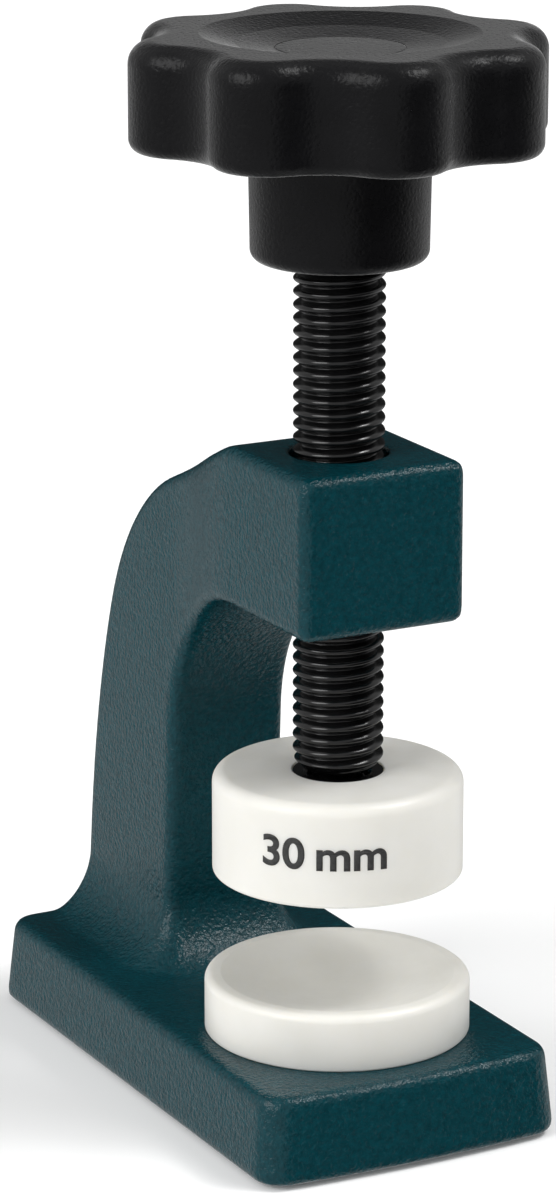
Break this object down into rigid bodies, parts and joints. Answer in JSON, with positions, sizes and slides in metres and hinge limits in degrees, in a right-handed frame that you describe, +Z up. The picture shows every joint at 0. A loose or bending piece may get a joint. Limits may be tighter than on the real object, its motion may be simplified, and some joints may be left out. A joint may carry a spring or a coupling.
{
  "type": "snap setting press",
  "caption": "Small C-frame screw press with a lobed knob that closes an upper nylon die onto a dished lower die, for setting snaps and buttons.",
  "frame": {"origin": "on the spindle axis, at the plane the press stands on", "axes": "+Z up along the spindle, operator at -Y, column at +Y, X across the base"},
  "size_m": [0.055, 0.0885, 0.1461],
  "materials": {
    "teal_casting": "fine textured teal paint",
    "steel": "plain turned steel",
    "black_steel": "glossy black oxide",
    "pad_rubber": "matt black",
    "nylon": "milky satin white",
    "brass": "plain turned brass",
    "black_plastic": "fine grained black"
  },
  "bodies": {
    "frame": {"frame_casting": "teal_casting", "thread_bushing": "steel", "bushing_lock_screw": "black_steel", "base_pad": "pad_rubber", "lower_die": "nylon", "lower_die_insert": "brass", "lower_die_washer": "steel", "lower_die_screw": "black_steel"},
    "ring": {"retaining_ring": "steel"},
    "spindle": {"spindle": "black_steel", "knob": "black_plastic", "knob_bush": "brass", "knob_washer": "steel", "knob_screw": "black_steel", "knob_cap": "black_plastic", "hub_grub_screw": "black_steel"},
    "upper_die": {"upper_die": "nylon", "thrust_socket": "black_steel", "thrust_disc": "brass"}
  },
  "joints": [
    {"name": "press_travel", "type": "slide", "parent": "frame", "child": "ring", "axis": [0, 0, 1], "range_m": [-0.014, 0.0175]},
    {"name": "spindle_turn", "type": "hinge", "parent": "ring", "child": "spindle", "pos_m": [0, 0, 0.1], "axis": [0, 0, 1], "range_deg": [-2880, 3600]},
    {"name": "upper_die_spin", "type": "hinge", "parent": "ring", "child": "upper_die", "pos_m": [0, 0, 0.04], "axis": [0, 0, 1], "continuous": true}
  ],
  "couplings": [
    {"joint": "spindle_turn", "follows": "press_travel", "rad_per_m": 3590.4}
  ]
}
